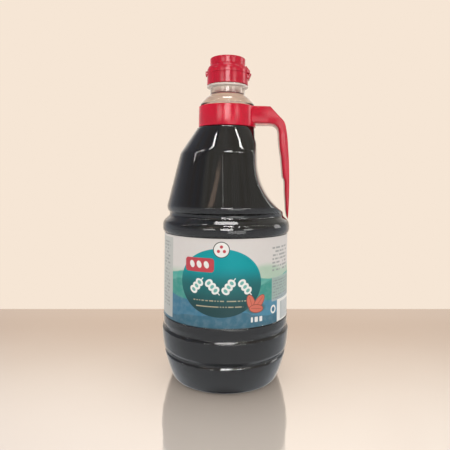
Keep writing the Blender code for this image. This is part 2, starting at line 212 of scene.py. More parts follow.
HINGE_FOLD_WIDTH = 0.0096
HINGE_FOLD_HEIGHT = 0.0018
HINGE_FOLD_DROP = 0.0004

# Handle
RING_BOTTOM = 0.2244
RING_TOP = 0.2432
RING_RADIUS = 0.0263
RING_EDGE = 0.0005
RING_INNER = SEAT_RADIUS + 0.0001
HANDLE_ROUNDING = 0.0014
HANDLE_STEPS = 6
CORNER_STEPS = 5

# Plastics: clearness and tint of the thick PET, and the cloudy colour of each red
PET_IOR = 1.57
THICK_PETS = (
    ("dome_pet", 0.985, (0.85, 0.76, 0.70)),
    ("neck_pet", 0.985, (0.92, 0.84, 0.78)),
    ("collar_pet", 0.45, (1.0, 0.95, 0.91)),
)
# Strength of the plug's painted glow, which stands in for the light let in through the clear neck
PLUG_PAINTED_GLOW = 0.38
CAP_REDS = ((0.54, 0.006, 0.030), (0.475, 0.005, 0.026))
HANDLE_REDS = ((0.63, 0.005, 0.032), (0.55, 0.004, 0.027))
RED_ROUGHNESS = (0.09, 0.17)


class Graph:
    """Short names for the node operations that the materials and the world share."""

    def __init__(self, tree):
        self.tree = tree

    def put(self, value, socket):
        if isinstance(value, bpy.types.NodeSocket):
            self.tree.links.new(value, socket)
        else:
            socket.default_value = value

    def node(self, kind, *values, **settings):
        """A new node with its settings, whose first inputs take the values."""
        made = self.tree.nodes.new(kind)
        for name, value in settings.items():
            setattr(made, name, value)
        for value, socket in zip(values, made.inputs):
            self.put(value, socket)
        return made

    def feed(self, node, **sockets):
        """Sets or links the inputs of a node by their names, with _ for each space."""
        for name, value in sockets.items():
            self.put(value, node.inputs[name.replace("_", " ")])
        return node

    def math(self, operation, *values):
        return self.node("ShaderNodeMath", *values, operation=operation).outputs[0]

    def vector(self, operation, *values):
        made = self.node("ShaderNodeVectorMath", *values, operation=operation)
        return made.outputs["Value" if operation == "LENGTH" else "Vector"]

    def parts(self, vector):
        """The three components of a vector."""
        return self.node("ShaderNodeSeparateXYZ", vector).outputs

    def ramp(self, value, low, high, first=0.0, last=1.0):
        """Value turned from low..high into first..last with soft ends."""
        values = (value, low, high, first, last)
        return self.node("ShaderNodeMapRange", *values, interpolation_type="SMOOTHSTEP").outputs[0]

    def between(self, value, low, high, soft):
        """Mask of what lies between low and high, with soft ends."""
        above = self.ramp(value, low - soft, low + soft)
        return self.math("MULTIPLY", above, self.ramp(value, high - soft, high + soft, 1.0, 0.0))

    def mix(self, share, first, second):
        made = self.node("ShaderNodeMix", data_type="RGBA")
        self.put(share, made.inputs["Factor"])
        self.put(rgba(first), made.inputs[6])
        self.put(rgba(second), made.inputs[7])
        return made.outputs[2]

    def noise(self, point, scale, detail=2.0):
        made = self.node("ShaderNodeTexNoise")
        return self.feed(made, Vector=point, Scale=scale, Detail=detail).outputs["Fac"]

    def product(self, *values):
        total = values[0]
        for value in values[1:]:
            total = self.math("MULTIPLY", total, value)
        return total

    def bump(self, height, distance):
        made = self.node("ShaderNodeBump")
        return self.feed(made, Height=height, Distance=distance, Strength=1.0).outputs["Normal"]


def rgba(colour):
    """A colour with its alpha, or the socket that carries it."""
    if isinstance(colour, bpy.types.NodeSocket) or len(colour) == 4:
        return colour
    return (*colour, 1.0)


def principled(name, kind=Graph, **settings):
    """A material with its graph and its shader, whose sockets take the settings."""
    material = bpy.data.materials.new(name)
    material.use_nodes = True
    graph = kind(material.node_tree)
    return material, graph, graph.feed(material.node_tree.nodes["Principled BSDF"], **settings)


def object_point(graph):
    return graph.node("ShaderNodeTexCoord").outputs["Object"]


# Materials


def clear_pet():
    """Clear blow-moulded PET, with the soft unevenness that makes its reflections waver."""
    material, graph, shader = principled("clear_pet", Roughness=0.02, IOR=PET_IOR)
    point = object_point(graph)
    swell = graph.noise(graph.vector("MULTIPLY", point, (1.0, 1.0, 1.7)), 42.0, detail=1.0)
    height = graph.math("MULTIPLY_ADD", graph.noise(point, 150.0, detail=1.0), 0.10, swell)
    graph.feed(shader, Base_Color=(0.93, 0.94, 0.92, 1.0), Transmission_Weight=1.0)
    graph.feed(shader, Normal=graph.bump(height, 0.00010))
    return material


def thick_pet(name, clearness, tint):
    """The thick, slightly milky PET of the dome, the neck and its support ring."""
    material, graph, shader = principled(name, Roughness=0.03, IOR=PET_IOR)
    swell = graph.noise(object_point(graph), 160.0, detail=1.0)
    graph.feed(shader, Base_Color=rgba(tint), Transmission_Weight=clearness)
    graph.feed(shader, Normal=graph.bump(swell, 0.00005))
    return material


def natural_plastic_with_painted_glow():
    """The plug's milky polyethylene, rose inside, with a painted glow that stands in for the light the
    clear neck lets in.
    """
    material, graph, shader = principled("natural_plastic_with_painted_glow", Roughness=0.4, IOR=1.5)
    point = object_point(graph)
    radius = graph.vector("LENGTH", graph.vector("MULTIPLY", point, (1.0, 1.0, 0.0)))
    inside = graph.ramp(radius, PLUG_RADIUS - PLUG_WALL, PLUG_RADIUS, 1.0, 0.0)
    pale = graph.mix(graph.noise(point, 300.0), (0.90, 0.82, 0.75), (0.97, 0.89, 0.82))
    colour = graph.mix(inside, pale, (0.58, 0.12, 0.15))
    # The colour is also used as emission: a painted glow in place of the light that comes in through the
    # clear neck
    graph.feed(shader, Base_Color=colour, Emission_Color=colour, Emission_Strength=PLUG_PAINTED_GLOW)
    return material


def dark_sauce():
    """Near-black soy sauce, a little browner in slow clouds."""
    material, graph, shader = principled("soy_sauce", Roughness=0.12, IOR=1.38, Specular_IOR_Level=0.12)
    clouds = graph.ramp(graph.noise(object_point(graph), 18.0), 0.35, 0.7)
    graph.feed(shader, Base_Color=graph.mix(clouds, (0.0050, 0.0044, 0.0042), (0.0085, 0.0062, 0.0050)))
    return material


def red_plastic(name, colour, deep):
    """Injection-moulded polypropylene: soft cloudy colour, a faint grain and slightly uneven gloss."""
    material, graph, shader = principled(name, IOR=1.49, Specular_IOR_Level=0.38)
    graph.feed(shader, Subsurface_Weight=0.06, Subsurface_Scale=0.0012)
    graph.feed(shader, Subsurface_Radius=(1.0, 0.15, 0.15))
    point = object_point(graph)
    clouds = graph.ramp(graph.noise(point, 55.0, detail=3.0), 0.3, 0.7)
    smears = graph.noise(graph.vector("MULTIPLY", point, (1.0, 1.0, 0.3)), 130.0, detail=3.0)
    flow = graph.noise(point, 70.0, detail=1.0)
    height = graph.math("MULTIPLY_ADD", flow, 6.0, graph.noise(point, 2200.0))
    graph.feed(shader, Base_Color=graph.mix(clouds, deep, colour), Normal=graph.bump(height, 0.00003))
    graph.feed(shader, Roughness=graph.ramp(smears, 0.2, 0.8, *RED_ROUGHNESS))
    return material


PAPER = (0.66, 0.645, 0.64)
LEFT_PANEL = (0.49, 0.515, 0.50)
RIGHT_PANEL = (0.50, 0.53, 0.515)
SMALL_PRINT = (0.40, 0.37, 0.26)
BADGE_INK = (0.035, 0.045, 0.040)
PRINT_GREY = (0.26, 0.29, 0.29)
HAZE_GREEN = (0.38, 0.55, 0.43)
HILL_GREEN = (0.05, 0.37, 0.33)
NEAR_GREEN = (0.030, 0.27, 0.235)
WATER_BLUE = (0.050, 0.180, 0.285)
FAR_WATER_BLUE = (0.070, 0.245, 0.380)
DEEP_BLUE = (0.040, 0.120, 0.175)
WORN_TINT = (0.75, 0.80, 0.78)
MEDALLION_TEAL = (0.0, 0.31, 0.355)
MEDALLION_MIDDLE = (0.016, 0.130, 0.140)
MEDALLION_DARK = (0.018, 0.060, 0.066)
PLAQUE_RED = (0.50, 0.060, 0.078)
PRINT_WHITE = (0.80, 0.82, 0.81)
SALMON = (0.62, 0.17, 0.12)
SALMON_DARK = (0.26, 0.060, 0.045)
LEAF_DARK = (0.05, 0.12, 0.11)

MEDALLION_CENTRE = (-0.0043, 0.0933)
MEDALLION_HALF = (0.0348, 0.0276)
PLAQUE_CENTRE = (-0.0222, 0.10735)
PLAQUE_HALF = (0.0127, 0.00565)
BADGE_CENTRE = (-0.0036, 0.1200)
POD_START = (-0.0243, 0.0902)
POD_PITCH = 0.0134
POD_TILTS = (50, -46, 52, -50)
BEAN_PITCH = 0.0040
BEAN_HALF = (0.0028, 0.0036)
BEAN_CORE_HALF = (0.0013, 0.0018)
STEM_REACH = 0.0074


class LabelGraph(Graph):
    """Flat shapes on the label in metres: u runs round from the front's middle, v is the height."""

    def __init__(self, tree):
        super().__init__(tree)
        self.point = self.node("ShaderNodeUVMap", uv_map="metres").outputs["UV"]
        self.u, self.v = self.parts(self.point)[:2]
        self.colour = PAPER

    def paint(self, mask, ink, share=1.0):
        """Lays an ink over what is printed so far, where the mask says."""
        if share != 1.0:
            mask = self.math("MULTIPLY", mask, share)
        self.colour = self.mix(mask, self.colour, ink)

    def local(self, centre, turn):
        moved = self.vector("SUBTRACT", self.point, (*centre, 0.0))
        if not turn:
            return moved
        made = self.node("ShaderNodeVectorRotate", rotation_type="Z_AXIS")
        return self.feed(made, Vector=moved, Angle=-turn).outputs[0]

    def box(self, centre, half, corner, soft=0.00015, turn=0.0):
        """Mask of a rectangle with round corners."""
        folded = self.vector("ABSOLUTE", self.local(centre, turn))
        inside = (half[0] - corner, half[1] - corner, 1.0)
        beyond = self.vector("MAXIMUM", self.vector("SUBTRACT", folded, inside), (0.0, 0.0, 0.0))
        return self.ramp(self.vector("LENGTH", beyond), corner - soft, corner + soft, 1.0, 0.0)

    def ellipse(self, centre, half, soft=0.00015, turn=0.0):
        scaled = self.vector("DIVIDE", self.local(centre, turn), (*half, 1.0))
        edge = soft / min(half)
        return self.ramp(self.vector("LENGTH", scaled), 1.0 - edge, 1.0 + edge, 1.0, 0.0)

    def below(self, height, swings, soft):
        """Mask of what lies below a wavy line. swings holds (size, wave length, start) of each wave."""
        line = height
        for size, length, start in swings:
            phase = self.math("MULTIPLY_ADD", self.u, 2 * math.pi / length, start)
            line = self.math("MULTIPLY_ADD", self.math("SINE", phase), size, line)
        return self.ramp(self.math("SUBTRACT", line, self.v), -soft, soft)

    def bars(self, centre, half, pitch, dash, seed):
        """Mask of rows of short bars of uneven length inside a rectangle, as lines of small print."""
        row = self.math("DIVIDE", self.math("SUBTRACT", self.v, centre[1] - half[1]), pitch)
        row_index = self.math("FLOOR", row)
        across = self.math("ABSOLUTE", self.math("SUBTRACT", self.math("FRACT", row), 0.5))
        stripe = self.ramp(across, 0.2, 0.3, 1.0, 0.0)
        shift = self.math("MULTIPLY", row_index, 0.37)
        place = self.math("ADD", self.math("DIVIDE", self.u, dash), shift)
        cell = self.node("ShaderNodeCombineXYZ", self.math("FLOOR", place), row_index, seed)
        chance = self.feed(self.node("ShaderNodeTexWhiteNoise"), Vector=cell.outputs[0])
        filled = self.math("GREATER_THAN", chance.outputs["Value"], 0.3)
        return self.product(self.box(centre, half, 0.0002), stripe, filled)


def label_landscape(graph):
    """Pale ground with layers of hills and water, as soft washes with wavy upper edges."""
    wash = graph.noise(graph.vector("MULTIPLY", graph.point, (1.0, 3.0, 1.0)), 60.0, detail=4.0)
    plain_height = graph.v
    graph.v = graph.math("ADD", graph.v, graph.math("MULTIPLY_ADD", wash, 0.004, -0.002))
    fade = graph.ramp(graph.v, 0.078, 0.103, 0.55, 1.0)
    water = graph.mix(graph.ramp(graph.u, -0.035, 0.055), WATER_BLUE, FAR_WATER_BLUE)
    for height, swings, soft, ink, share in (
        (0.1040, ((0.0030, 0.115, 0.4), (0.0012, 0.037, 1.0)), 0.0035, HAZE_GREEN, 0.85),
        (0.0985, ((0.0036, 0.142, 2.2), (0.0010, 0.052, 0.0)), 0.0006, HILL_GREEN, fade),
        (0.0920, ((0.0030, 0.089, 3.4), (0.0014, 0.043, 2.0)), 0.0008, NEAR_GREEN, 0.88),
        (0.0790, ((0.0016, 0.071, 0.7), (0.0006, 0.029, 1.9)), 0.0009, water, 1.0),
        (0.0665, ((0.0026, 0.098, 1.3), (0.0009, 0.041, 0.2)), 0.0007, DEEP_BLUE, 0.72),
    ):
        graph.paint(graph.below(height, swings, soft), ink, share)
    graph.paint(graph.ramp(graph.v, 0.0570, 0.0630, 0.5, 0.0), DEEP_BLUE)
    drift = graph.noise(graph.point, 220.0, detail=3.0)
    graph.paint(graph.ramp(drift, 0.35, 0.8, 0.0, 0.07), WORN_TINT)
    graph.v = plain_height


def label_medallion(graph):
    """The large teal oval, darker towards its foot, with a plain red plaque and three white dots."""
    middle, half = MEDALLION_CENTRE[1], MEDALLION_HALF[1]
    foot = graph.ramp(graph.v, middle - half * 0.75, middle - half * 0.15)
    head = graph.ramp(graph.v, middle - half * 0.15, middle + half * 0.55)
    teal = graph.mix(head, graph.mix(foot, MEDALLION_DARK, MEDALLION_MIDDLE), MEDALLION_TEAL)
    graph.paint(graph.ellipse(MEDALLION_CENTRE, MEDALLION_HALF), teal)
    graph.paint(graph.box(PLAQUE_CENTRE, PLAQUE_HALF, 0.0025), PLAQUE_RED)
    for place in (-0.0285, -0.0222, -0.0159):
        dot = graph.ellipse((place, 0.1077), (0.0021, 0.0030), turn=math.radians(18))
        graph.paint(dot, PRINT_WHITE)


def label_pods(graph):
    """A row of white bean pods across the medallion, with two lines of small bars below."""
    for pod, degrees in enumerate(POD_TILTS):
        middle = Vector((POD_START[0] + pod * POD_PITCH, POD_START[1]))
        tilt = math.radians(degrees)
        way = Vector((math.cos(tilt), math.sin(tilt)))
        for bean in (-1, 0, 1):
            centre = tuple(middle + way * bean * BEAN_PITCH)
            graph.paint(graph.ellipse(centre, BEAN_HALF, turn=tilt), PRINT_WHITE)
            graph.paint(graph.ellipse(centre, BEAN_CORE_HALF, turn=tilt), HILL_GREEN, 0.85)
        stem = tuple(middle + way * STEM_REACH)
        graph.paint(graph.box(stem, (0.0016, 0.0004), 0.0003, turn=tilt), PRINT_WHITE)
    for height, half in ((0.0789, 0.0220), (0.0742, 0.0195)):
        bars = graph.bars((-0.0050, height), (half, 0.0009), 0.0018, 0.0011, seed=height * 1000)
        graph.paint(bars, SMALL_PRINT)


def label_badge(graph):
    """A plain round badge over the medallion's top edge: dark ring, pale field, three red dots."""
    for half, ink in ((0.0068, BADGE_INK), (0.0061, PRINT_WHITE)):
        graph.paint(graph.ellipse(BADGE_CENTRE, (half, half * 0.97)), ink)
    for across, up in ((-0.0024, -0.0012), (0.0024, -0.0012), (0.0, 0.0024)):
        centre = (BADGE_CENTRE[0] + across, BADGE_CENTRE[1] + up)
        graph.paint(graph.ellipse(centre, (0.0013, 0.0013)), PLAQUE_RED)


def label_leaves(graph):
    """Three salmon leaves on a dark ground at the medallion's lower right."""
    graph.paint(graph.ellipse((0.0258, 0.0722), (0.0092, 0.0042), soft=0.0008), LEAF_DARK, 0.7)
    for centre, degrees, size in (
        ((0.0214, 0.0768), 108, 0.0066),
        ((0.0287, 0.0768), 48, 0.0068),
        ((0.0262, 0.0718), 174, 0.0062),
    ):
        turn = math.radians(degrees)
        for extra, ink in ((0.0005, SALMON_DARK), (0.0, SALMON)):
            half = (size + extra, size * 0.48 + extra)
            graph.paint(graph.ellipse(centre, half, turn=turn), ink)
        vein = graph.box(centre, (size * 0.8, 0.00022), 0.0002, turn=turn)
        graph.paint(vein, SALMON_DARK, 0.7)


def label_panels(graph):
    """Pale side panels, rows of small grey bars, a box with upright bars, a ring and three marks."""
    for centre, half, tone, share in (
        ((-0.0700, 0.0930), (0.0180, 0.0340), LEFT_PANEL, 0.92),
        ((0.0598, 0.0850), (0.0173, 0.0100), RIGHT_PANEL, 0.62),
        ((0.1250, 0.0930), (0.0330, 0.0300), RIGHT_PANEL, 0.86),
        ((0.0670, 0.0655), (0.0170, 0.0100), PRINT_WHITE, 1.0),
    ):
        graph.paint(graph.box(centre, half, 0.0008), tone, share)
    for centre, half, pitch, dash, seed in (
        ((-0.0640, 0.0950), (0.0070, 0.0280), 0.0030, 0.0017, 3.0),
        ((-0.0800, 0.0950), (0.0060, 0.0300), 0.0026, 0.0012, 5.0),
        ((0.0560, 0.1105), (0.0130, 0.0110), 0.0031, 0.0013, 7.0),
        ((0.0598, 0.0850), (0.0160, 0.0088), 0.0024, 0.0011, 11.0),
        ((0.1250, 0.0930), (0.0310, 0.0280), 0.0028, 0.0014, 17.0),
    ):
        graph.paint(graph.bars(centre, half, pitch, dash, seed), PRINT_GREY, 0.75)
    for place in range(9):
        line = graph.box((0.0560 + place * 0.0027, 0.0655), (0.0007, 0.0075), 0.0002)
        graph.paint(line, DEEP_BLUE, 0.7)
    for half, ink in (((0.0033, 0.0036), PRINT_WHITE), ((0.0019, 0.0021), WATER_BLUE)):
        graph.paint(graph.ellipse((0.0446, 0.0685), half), ink)
    for place, half in ((0.0222, 0.0009), (0.0262, 0.0015), (0.0306, 0.0014)):
        graph.paint(graph.box((place, 0.0630), (half, 0.0021), 0.0006), PRINT_WHITE)


def printed_label():
    """Printed plastic film: fields of colour under a soft sheen, with a slightly wavy surface."""
    material, graph, shader = principled("label_print", LabelGraph, Specular_IOR_Level=0.22)
    for layer in (label_landscape, label_medallion, label_pods, label_badge, label_leaves, label_panels):
        layer(graph)
    fibres = graph.noise(graph.point, 900.0, detail=3.0)
    waves = graph.noise(graph.vector("MULTIPLY", graph.point, (1.0, 0.25, 1.0)), 70.0, detail=1.0)
    height = graph.math("MULTIPLY_ADD", waves, 5.0, fibres)
    graph.feed(shader, Base_Color=graph.colour, Normal=graph.bump(height, 0.00003))
    graph.feed(shader, Roughness=graph.ramp(fibres, 0.2, 0.8, 0.34, 0.46))
    return material


def floor_material():
    """Pale warm table top, darker towards its far edge, with a mirror sheen round the bottle."""
    material, graph, shader = principled("table_top", IOR=1.5)
    point = object_point(graph)
    grain = graph.math("MULTIPLY_ADD", graph.noise(point, 6.0, detail=4.0), 0.03, graph.parts(point)[1])
    nearer = graph.ramp(grain, FLOOR_NEAR, FLOOR_BACK_EDGE - 0.03, 1.0, 0.0)
    away = (graph.vector("LENGTH", point), SHEEN_REACH, SHEEN_END)
    graph.feed(shader, Base_Color=graph.mix(nearer, FLOOR_FAR_COLOUR, FLOOR_NEAR_COLOUR))
    graph.feed(shader, Metallic=graph.ramp(*away, *SHEEN_METALLIC))
    graph.feed(shader, Roughness=graph.ramp(*away, *SHEEN_ROUGHNESS))
    return material


# Shape helpers


def curve_points(start, middle, end, steps):
    """Points along a quadratic curve from start towards middle to end, without start."""
    points = []
    for step in range(1, steps + 1):
        t = step / steps
        near, pull, far = (1 - t) ** 2, 2 * t * (1 - t), t**2
        points.append(tuple(near * a + pull * b + far * c for a, b, c in zip(start, middle, end)))
    return points


def rounded(points, reach, steps=4):
    """The outline with each corner replaced by a short curve that starts within reach of it."""
    smooth = [points[0]]
    for before, here, after in zip(points, points[1:], points[2:]):
        into, out = Vector(here) - Vector(before), Vector(after) - Vector(here)
        if into.length < 1e-7 or out.length < 1e-7 or into.angle(out) < LEAST_TURN:
            smooth.append(here)
            continue
        start = Vector(here) - into.normalized() * min(reach, into.length * 0.45)
        end = Vector(here) + out.normalized() * min(reach, out.length * 0.45)
        smooth.append(tuple(start))
        smooth += curve_points(tuple(start), here, tuple(end), steps)
    return smooth + [points[-1]]


def split_long(points, longest):
    """The outline with extra points so that no step is longer than longest."""
    fine = [points[0]]
    for before, here in zip(points, points[1:]):
        count = max(math.ceil((Vector(here) - Vector(before)).length / longest), 1)
        for step in range(1, count + 1):
            share = step / count
            fine.append(tuple(a + (b - a) * share for a, b in zip(before, here)))
    return fine


def spaced(low, high, count):
    return [low + (high - low) * index / (count - 1) for index in range(count)]


def finish_object(name, builder, material):
    """Turns a bmesh into a named, smooth-shaded object with one material."""
    bmesh.ops.recalc_face_normals(builder, faces=builder.faces)
    mesh = bpy.data.meshes.new(name)
    builder.to_mesh(mesh)
    builder.free()
    mesh.shade_smooth()
    mesh.set_sharp_from_angle(angle=SHARP_ANGLE)
    mesh.materials.append(material)
    made = bpy.data.objects.new(name, mesh)
    bpy.context.scene.collection.objects.link(made)
    return made


def dress(piece, slot, *nodes):
    """Puts the piece on the root body and hides the solids it stands for; slot is not used."""
    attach(piece, "root")
    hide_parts(*nodes)


# The bottle's outline


def heel_radius(height):
    """Radius of the lower body, which draws in towards the floor along a parabola."""
    return HEEL_RADIUS - HEEL_DROP * (1 - min(height / HEEL_TOP, 1.0)) ** 2


def push_up_height(radius):
    """Height of the pushed-up middle of the base above the floor."""
    return PUSH_UP_HEIGHT * (1 - (radius / STAND_INNER_RADIUS) ** PUSH_UP_POWER)


def groove(height, upper_radius):
    """Four outline points of a ring groove: a sharp lower lip, a narrow floor and a long upper side."""
    lip = height - GROOVE_LIP
    floor_radius = min(upper_radius, heel_radius(lip)) - GROOVE_DEPTH
    return [
        (heel_radius(lip), lip),
        (floor_radius, height),
        (floor_radius + GROOVE_DEPTH * 0.1, height + GROOVE_FLOOR),
        (upper_radius, height + GROOVE_RISE),
    ]


def base_outline():
    """The pushed-up base and the ring that the bottle stands on."""
    points = [(radius, push_up_height(radius)) for radius in spaced(*PUSH_UP_SPAN)]
    points += [(STAND_INNER_RADIUS, 0.0), (STAND_OUTER_RADIUS, 0.0)]
    points += [(STAND_OUTER_RADIUS + STAND_EDGE_WIDTH, STAND_EDGE_HEIGHT)]
    return points


def lower_body_outline():
    """The heel with its two ring grooves."""
    points = [(heel_radius(height), height) for height in spaced(*HEEL_SPAN)]
    points += groove(LOW_GROOVE_HEIGHT, heel_radius(LOW_GROOVE_HEIGHT + GROOVE_RISE))
    points += [(heel_radius(height), height) for height in spaced(*BETWEEN_GROOVES_SPAN)]
    points += groove(HIGH_GROOVE_HEIGHT, PANEL_RADIUS)
    return points


def label_panel_outline():
    """The shallow recess that holds the label, with a step at each end."""
    sunk = PANEL_RADIUS - LABEL_SINK
    foot, head = (PANEL_RADIUS, LABEL_BOTTOM - LABEL_STEP), (PANEL_RADIUS, LABEL_TOP + LABEL_STEP)
    return [foot, (sunk, LABEL_BOTTOM), (sunk, LABEL_TOP), head]


def waist_outline():
    """The rounded rim above the label, the waist groove and the bulge over it."""
    rim, rim_top = (RIM_RADIUS, RIM_HEIGHT), (RIM_TOP_RADIUS, RIM_TOP)
    points = [(PANEL_RADIUS, RIM_BOTTOM)]
    points += curve_points(points[-1], (RIM_RADIUS, RIM_BOTTOM + RIM_FOOT_PULL), rim, 8)
    points += curve_points(rim, (RIM_RADIUS, RIM_TOP - RIM_TOP_PULL), rim_top, 12)
    points += [(WAIST_RADIUS + WAIST_EDGE, WAIST_BOTTOM - WAIST_EDGE)]
    points += [(WAIST_RADIUS, WAIST_BOTTOM + WAIST_EDGE), (WAIST_RADIUS, WAIST_TOP)]
    bulge, pull = (BULGE_RADIUS, BULGE_HEIGHT), (BULGE_RADIUS, WAIST_TOP + BULGE_PULL)
    return points + curve_points(points[-1], pull, bulge, 8)


def along(start, end, height):
    """The point at a height on the straight line from start to end."""
    share = (height - start[1]) / (end[1] - start[1])
    return (start[0] + (end[0] - start[0]) * share, height)


def shoulder_outline():
    """The tapering lower shoulder, the crease, the conical upper shoulder and the handle's ledge."""
    bulge, cone_top = (BULGE_RADIUS, BULGE_HEIGHT), (LEDGE_RADIUS, LEDGE_HEIGHT - LEDGE_EDGE)
    crease = (CREASE_RADIUS - CREASE_DEPTH / 2, CREASE_HEIGHT)
    below = along(crease, bulge, CREASE_HEIGHT - CREASE_REACH)
    above = along(crease, cone_top, CREASE_HEIGHT + CREASE_REACH)
    points = [below] + curve_points(below, crease, above, 6)
    points += [cone_top, (LEDGE_RADIUS - LEDGE_EDGE, LEDGE_HEIGHT), (SEAT_RADIUS, LEDGE_HEIGHT)]
    return points


def neck_outline():
    """The handle's seat, the clear dome over it, the neck, its support ring and the plain mouth."""
    dome, dome_top = (DOME_RADIUS, DOME_BOTTOM), (DOME_TOP_RADIUS, DOME_TOP)
    points = [(SEAT_RADIUS, SEAT_TOP), dome]
    points += curve_points(dome, (DOME_RADIUS - DOME_LEAN, DOME_BOTTOM + DOME_BULGE), dome_top, 12)
    points += [(NECK_RADIUS, NECK_BOTTOM), (NECK_RADIUS, SUPPORT_BOTTOM - SUPPORT_FILLET)]
    flat = SUPPORT_RADIUS - SUPPORT_EDGE
    points += [(flat, SUPPORT_BOTTOM), (SUPPORT_RADIUS, SUPPORT_BOTTOM + SUPPORT_EDGE)]
    points += [(SUPPORT_RADIUS, SUPPORT_TOP - SUPPORT_EDGE), (flat, SUPPORT_TOP)]
    return points + [(FINISH_RADIUS, SUPPORT_TOP), (FINISH_RADIUS, MOUTH_HEIGHT)]


def bottle_outline():
    """The bottle's outer outline as (radius, height), from the middle of its base to its mouth."""
    lower = base_outline() + lower_body_outline() + label_panel_outline()
    return lower + waist_outline() + shoulder_outline() + neck_outline()


def wall_at(height):
    """Wall thickness, which grows from the thin body to the stiff neck."""
    share = (height - LEDGE_HEIGHT) / (NECK_BOTTOM - LEDGE_HEIGHT)
    return BODY_WALL + (NECK_WALL - BODY_WALL) * min(max(share, 0.0), 1.0)


def without_fine_points(outline, tolerance):
    """The outline without the points that hardly turn it."""
    kept = [outline[0]]
    for here, after in zip(outline[1:], outline[2:]):
        start, end = Vector(kept[-1]), Vector(after)
        line = (end - start).normalized()
        away = Vector(here) - start
        if abs(line.x * away.y - line.y * away.x) > tolerance:
            kept.append(here)
    return kept + [outline[-1]]


def inset_outline(outline, extra):
    """The outline moved inwards by the wall thickness and an extra gap, each point along its normal."""
    moved = []
    for index, point in enumerate(outline):
        before = Vector(outline[max(index - 1, 0)])
        here = Vector(point)
        after = Vector(outline[min(index + 1, len(outline) - 1)])
        sides = [side.normalized() for side in (here - before, after - here) if side.length > 0]
        normals = [Vector((side.y, -side.x)) for side in sides]
        normal = sum(normals, Vector((0.0, 0.0))).normalized()
        depth = (wall_at(here.y) + extra) / max(normal.dot(normals[0]), 0.6)
        inner = here - normal * depth
        moved.append((max(inner.x, 0.0) if point[0] > 0 else 0.0, inner.y))
    return moved


def inside_outline(extra):
    """The bottle's inner outline up to the neck, from the middle of the base."""
    outline = without_fine_points(bottle_outline(), INSIDE_TOLERANCE)
    last = max(i for i, (_, height) in enumerate(outline) if height < NECK_BOTTOM - 0.0001)
    return inset_outline(outline[: last + 1], extra)[:-1]


def smooth_step(low, high, value):
    """Share from 0 at low to 1 at high, with soft ends."""
    share = min(max((value - low) / (high - low), 0.0), 1.0)
    return share * share * (3 - 2 * share)


def recess_distance(height, inset):
    """Distance from the axis to the middle of the finger recess's face, moved inwards by inset."""
    rise = max(RECESS_BEND_TOP - height, 0.0) / RECESS_BEND_RADIUS
    angle = min(math.asin(min(rise, 1.0)), RECESS_STEEPEST)
    bend = RECESS_BEND_RADIUS * (1 - math.cos(angle))
    straight = (rise * RECESS_BEND_RADIUS - RECESS_BEND_RADIUS * math.sin(angle)) * math.tan(angle)
    lean = RECESS_LEAN * (RECESS_HEIGHT - height)
    step = RECESS_STEP * smooth_step(RECESS_STEP_BOTTOM, RECESS_STEP_TOP, height)
    return RECESS_FACE + lean - step + bend + straight - inset / math.cos(angle)


def smooth_min(first, second, blend):
    """The smaller of two lengths, with a rounded change from one to the other."""
    share = min(max(0.5 + 0.5 * (second - first) / blend, 0.0), 1.0)
    return second * (1 - share) + first * share - blend * share * (1 - share)


def recessed_radius(radius, height, angle, inset=0.0):
    """Radius of the bottle at an angle round its axis, drawn in where the finger recess is."""
    facing = math.cos(angle)
    beside = WAIST_TOP < height < LEDGE_HEIGHT + 0.0001 and radius > SEAT_RADIUS + 0.001
    if facing < RECESS_LEAST_FACING or not beside:
        return radius
    distance = recess_distance(height, inset)
    crown = 2 * distance / RECESS_CROWN_RADIUS * (1 - facing**2)
    face_radius = 2 * distance / (facing + math.sqrt(facing**2 + crown))
    return smooth_min(radius, face_radius, RECESS_EDGE)


def inner_rule(extra):
    """Radius rule of a skin that lies the wall's thickness and an extra gap inside the bottle."""

    def rule(radius, height, angle):
        return recessed_radius(radius, height, angle, wall_at(height) + extra)

    return rule


def plain_radius(radius, height, angle):
    return radius


def turn_loops(builder, outline, radius_rule=plain_radius, angles=ROUND_ANGLES):
    """One loop of points for each outline point, or a single point on the axis."""
    loops = []
    for radius, height in outline:
        if radius < 1e-6:
            loops.append([builder.verts.new((0.0, 0.0, height))])
            continue
        loop = []
        for angle in angles:
            length = radius_rule(radius, height, angle)
            loop.append(builder.verts.new((length * math.cos(angle), length * math.sin(angle), height)))
        loops.append(loop)
    return loops


def skin(builder, loops, closed=False):
    """Faces between neighbouring loops, with triangles where a loop is a single point."""
    pairs = list(zip(loops, loops[1:]))
    if closed:
        pairs.append((loops[-1], loops[0]))
    for first, second in pairs:
        count = max(len(first), len(second))
        for index in range(count):
            following = (index + 1) % count
            corners = [first[index % len(first)], first[following % len(first)]]
            corners += [second[following % len(second)], second[index % len(second)]]
            unique = list(dict.fromkeys(corners))
            if len(unique) > 2:
                builder.faces.new(unique)


def turned(name, outline, material, closed=False, radius_rule=plain_radius, angles=ROUND_ANGLES):
    """A turned piece from an outline of (radius, height)."""
    builder = bmesh.new()
    skin(builder, turn_loops(builder, outline, radius_rule, angles), closed)
    return finish_object(name, builder, material)


# Pieces


